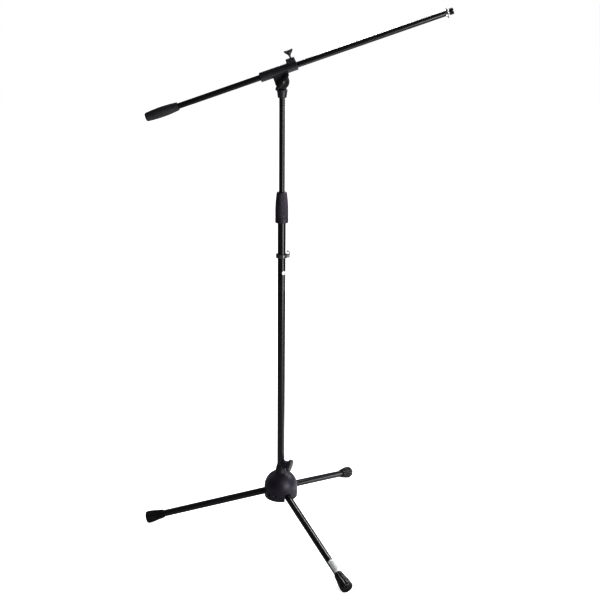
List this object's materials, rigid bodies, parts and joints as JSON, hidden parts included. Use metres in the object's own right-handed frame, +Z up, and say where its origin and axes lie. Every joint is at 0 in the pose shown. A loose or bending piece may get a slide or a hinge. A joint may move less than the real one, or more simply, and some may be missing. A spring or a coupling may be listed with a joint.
{
  "type": "boom microphone stand",
  "caption": "Black folding tripod microphone stand: domed hub, telescopic mast with twist clutch and cable clip, tilting boom with a counterweight and a threaded microphone end.",
  "frame": {"origin": "floor point under the centre of the bounding box, with the legs spread and the boom at rest", "axes": "+X points the way the boom's microphone end points, +Z up along the mast, +Y away from the viewer of the front"},
  "size_m": [0.8006, 0.6697, 1.4088],
  "materials": {
    "dome": "matt black moulded dome with a fine grain",
    "cover": "matt black moulded cover",
    "screws": "zinc plated",
    "pins": "plain ground steel",
    "knuckles": "black painted casting",
    "leg_tubes": "semi-gloss black powder coat",
    "boots": "ribbed black rubber, slightly shiny",
    "label": "white printed label wrapped round the leg",
    "lock_knob": "black moulded knob",
    "mast_tubes": "semi-gloss black powder coat",
    "inner_nylon": "black nylon",
    "clutch_ring": "black moulded ring",
    "clutch_grip": "black ribbed twist grip",
    "clip": "dark grey glossy plastic",
    "upper_tube": "semi-gloss black powder coat",
    "head_casting": "black painted casting",
    "pivot_bolt": "darkened steel",
    "wing_nut": "black moulded wing nut",
    "clamp_casting": "black painted casting, slightly rough",
    "brass_pad": "plain brass",
    "clamp_wing": "black moulded wing",
    "liner": "black nylon",
    "boom_tube": "semi-gloss black powder coat",
    "end_plug": "bright plated stud",
    "lock_ring": "worn dark plating",
    "adapter": "blackened thread",
    "weight_core": "bare casting",
    "weight_grip": "matt textured rubber sleeve"
  },
  "bodies": {
    "hub": {"hub_dome": "dome", "hub_bottom_cover": "cover", "cover_screw_1": "screws", "cover_screw_2": "screws", "cover_screw_3": "screws", "leg_pin_left": "pins", "leg_pin_front": "pins", "leg_pin_rear": "pins"},
    "leg_left": {"leg_knuckle_left": "knuckles", "leg_tube_left": "leg_tubes", "leg_foot_left": "boots"},
    "leg_front": {"leg_knuckle_front": "knuckles", "leg_tube_front": "leg_tubes", "leg_foot_front": "boots", "leg_label": "label"},
    "leg_rear": {"leg_knuckle_rear": "knuckles", "leg_tube_rear": "leg_tubes", "leg_foot_rear": "boots"},
    "lock_knob": {"lock_knob": "lock_knob", "lock_screw": "screws"},
    "mast": {"lower_tube": "mast_tubes", "tube_plug": "inner_nylon", "clutch_base_ring": "clutch_ring", "clutch_collet": "inner_nylon"},
    "clutch_grip": {"clutch_grip": "clutch_grip"},
    "cable_clip": {"cable_clip": "clip"},
    "mast_slider": {"guide_bush": "inner_nylon"},
    "upper_mast": {"upper_tube": "upper_tube", "top_socket": "head_casting", "pivot_bolt": "pivot_bolt", "pivot_washer_front": "inner_nylon", "pivot_washer_back": "inner_nylon"},
    "pivot_wing": {"pivot_wing_nut": "wing_nut"},
    "boom_clamp": {"boom_clamp": "clamp_casting", "clamp_pad": "brass_pad"},
    "clamp_wing": {"clamp_wing": "clamp_wing", "clamp_screw": "screws"},
    "boom_liner": {"boom_liner": "liner"},
    "boom": {"boom_tube": "boom_tube", "boom_end_plug": "end_plug", "counterweight_core": "weight_core", "counterweight_grip": "weight_grip"},
    "lock_ring": {"lock_ring": "lock_ring"},
    "adapter": {"thread_adapter": "adapter"}
  },
  "joints": [
    {"name": "mast_lift", "type": "slide", "parent": "hub", "child": "mast", "axis": [0, 0, 1], "range_m": [0, 0.0285]},
    {"name": "leg_fold_left", "type": "hinge", "parent": "hub", "child": "leg_left", "pos_m": [-0.04883, 0.01389, 0.1139], "axis": [-0.0663, -0.9978, 0], "range_deg": [0, 74.3]},
    {"name": "leg_fold_front", "type": "hinge", "parent": "hub", "child": "leg_front", "pos_m": [-0.00566, -0.01502, 0.1139], "axis": [0.8973, 0.4415, 0], "range_deg": [0, 74.3]},
    {"name": "leg_fold_rear", "type": "hinge", "parent": "hub", "child": "leg_rear", "pos_m": [-0.00221, 0.03683, 0.1139], "axis": [-0.831, 0.5563, 0], "range_deg": [0, 74.3]},
    {"name": "lock_turn", "type": "hinge", "parent": "hub", "child": "lock_knob", "pos_m": [-0.0189, 0.0119, 0.1945], "axis": [0.8192, -0.5736, 0], "range_deg": [0, 360]},
    {"name": "clutch_twist", "type": "hinge", "parent": "mast", "child": "clutch_grip", "pos_m": [-0.0189, 0.0119, 0.9], "axis": [0, 0, 1], "range_deg": [0, 120]},
    {"name": "clip_slide", "type": "slide", "parent": "mast", "child": "cable_clip", "axis": [0, 0, 1], "range_m": [-0.56, 0.07]},
    {"name": "height_slide", "type": "slide", "parent": "mast", "child": "mast_slider", "axis": [0, 0, 1], "range_m": [-0.235, 0.4]},
    {"name": "mast_turn", "type": "hinge", "parent": "mast_slider", "child": "upper_mast", "pos_m": [-0.0189, 0.0119, 1], "axis": [0, 0, 1], "continuous": true},
    {"name": "pivot_wing_turn", "type": "hinge", "parent": "upper_mast", "child": "pivot_wing", "pos_m": [-0.0189, 0.0119, 1.2282], "axis": [0, 1, 0], "range_deg": [0, 360]},
    {"name": "boom_tilt", "type": "hinge", "parent": "upper_mast", "child": "boom_clamp", "pos_m": [-0.0189, 0.0119, 1.2282], "axis": [0, -1, 0], "range_deg": [-98, 62]},
    {"name": "clamp_screw_turn", "type": "hinge", "parent": "boom_clamp", "child": "clamp_wing", "pos_m": [-0.00156, 0.0119, 1.29404], "axis": [-0.3284, 0, 0.9445], "range_deg": [0, 360]},
    {"name": "boom_roll", "type": "hinge", "parent": "boom_clamp", "child": "boom_liner", "pos_m": [-0.0276, 0.0119, 1.25323], "axis": [0.9445, 0, 0.3284], "continuous": true},
    {"name": "boom_slide", "type": "slide", "parent": "boom_liner", "child": "boom", "axis": [0.9445, 0, 0.3284], "range_m": [-0.37, 0.21]},
    {"name": "ring_turn", "type": "hinge", "parent": "boom", "child": "lock_ring", "pos_m": [0.38347, 0.0119, 1.39614], "axis": [0.9445, 0, 0.3284], "range_deg": [0, 720]},
    {"name": "adapter_turn", "type": "hinge", "parent": "boom", "child": "adapter", "pos_m": [0.39263, 0.0119, 1.39932], "axis": [0.9445, 0, 0.3284], "range_deg": [0, 720]}
  ],
  "couplings": [
    {"joint": "leg_fold_left", "follows": "mast_lift", "rad_per_m": 45.455},
    {"joint": "leg_fold_front", "follows": "mast_lift", "rad_per_m": 45.455},
    {"joint": "leg_fold_rear", "follows": "mast_lift", "rad_per_m": 45.455}
  ]
}
